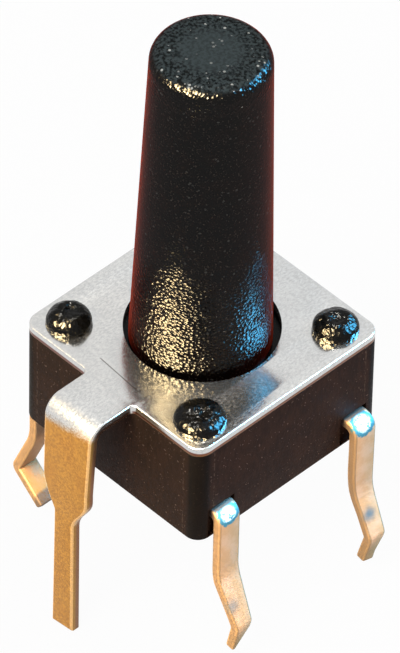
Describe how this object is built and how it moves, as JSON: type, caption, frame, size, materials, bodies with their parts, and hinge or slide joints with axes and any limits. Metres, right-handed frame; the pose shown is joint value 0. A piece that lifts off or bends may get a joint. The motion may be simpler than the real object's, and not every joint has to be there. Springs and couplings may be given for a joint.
{
  "type": "tactile push button switch",
  "caption": "Square through-hole tactile push button switch with a tall tapered round plunger, a riveted sheet cover, kinked signal leads and a ground terminal.",
  "frame": {"origin": "centre of the base's underside, in the plane that sits on the circuit board", "axes": "+Z out of the board along the plunger, +X and -X through the sides that the signal leads leave, -Y through the side of the ground terminal"},
  "size_m": [0.008, 0.0077, 0.0168],
  "materials": {
    "base": "dark brown-black moulded thermoplastic, satin, with glossy staked heads",
    "cover": "plated steel sheet with a fine grain, warm tan on the ground terminal and cut edges",
    "plunger": "black moulded thermoplastic with a fine spark texture",
    "contact_dome": "thin stainless spring sheet, smooth",
    "leads": "plated copper alloy strip, tan with bright silver bends"
  },
  "bodies": {
    "housing": {"base": "base", "cover": "cover", "contact_dome": "contact_dome", "lead_frame_centre": "leads", "lead_frame_rim": "leads"},
    "plunger": {"plunger": "plunger"}
  },
  "joints": [
    {"name": "plunger_press", "type": "slide", "parent": "housing", "child": "plunger", "axis": [0, 0, -1], "range_m": [0, 0.00025], "stiffness_N_per_m": 6000, "deforming": ["contact_dome"]}
  ]
}
